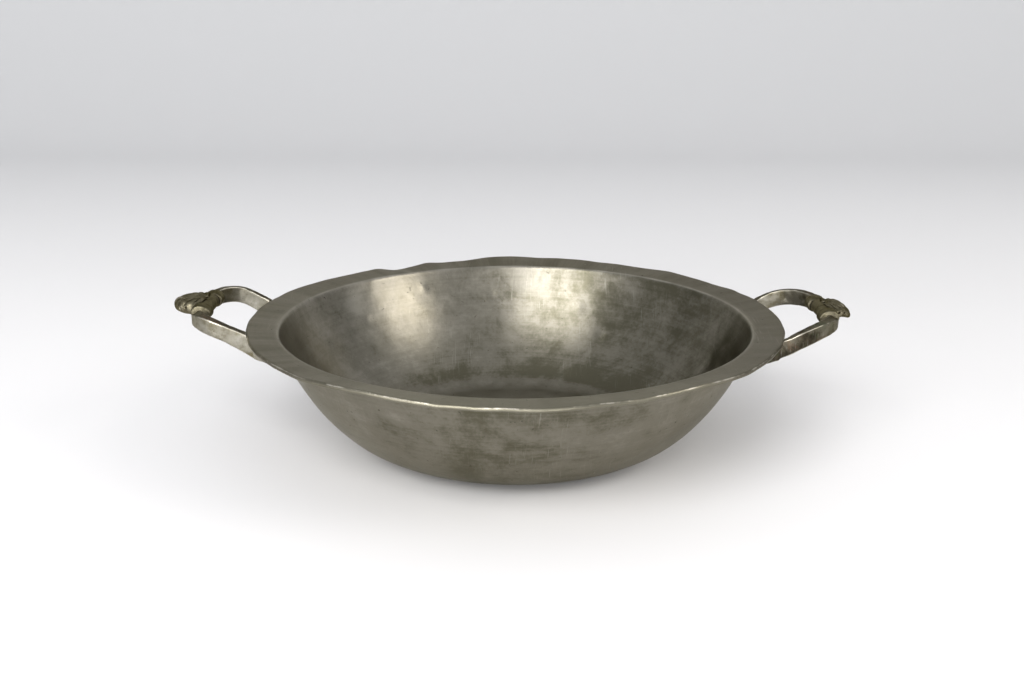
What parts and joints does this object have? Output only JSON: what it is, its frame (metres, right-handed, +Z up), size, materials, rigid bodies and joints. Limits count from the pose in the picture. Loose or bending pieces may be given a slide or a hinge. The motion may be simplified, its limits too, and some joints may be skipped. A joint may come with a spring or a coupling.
{
  "type": "shaving bowl",
  "caption": "Round pewter shaving bowl with a flat base, steep curved wall, wide flange and soldered loop handles that carry fluted shell ornaments.",
  "frame": {"origin": "centre of the flat underside of the base", "axes": "+Z up along the bowl's axis, +X towards one handle, -X towards the other, -Y the side the viewer faces"},
  "size_m": [0.3825, 0.3, 0.0822],
  "materials": {
    "bowl_pewter": "aged cast and turned pewter, satin, olive-grey patina with scratches, pits and a worn rim edge",
    "strap_pewter": "hand-polished cast pewter, satin, brown tarnish in patches",
    "ornament_pewter": "cast pewter relief, dark brown dirt in the flutes and bright worn ridges",
    "solder": "soft solder, dull grey, slightly lumpy"
  },
  "bodies": {
    "root": {"bowl_body": "bowl_pewter", "handle_strap_left": "strap_pewter", "handle_strap_right": "strap_pewter", "shell_ornament_left": "ornament_pewter", "shell_ornament_right": "ornament_pewter", "solder_fillet_left_back": "solder", "solder_fillet_left_front": "solder", "solder_fillet_right_back": "solder", "solder_fillet_right_front": "solder"}
  },
  "joints": []
}
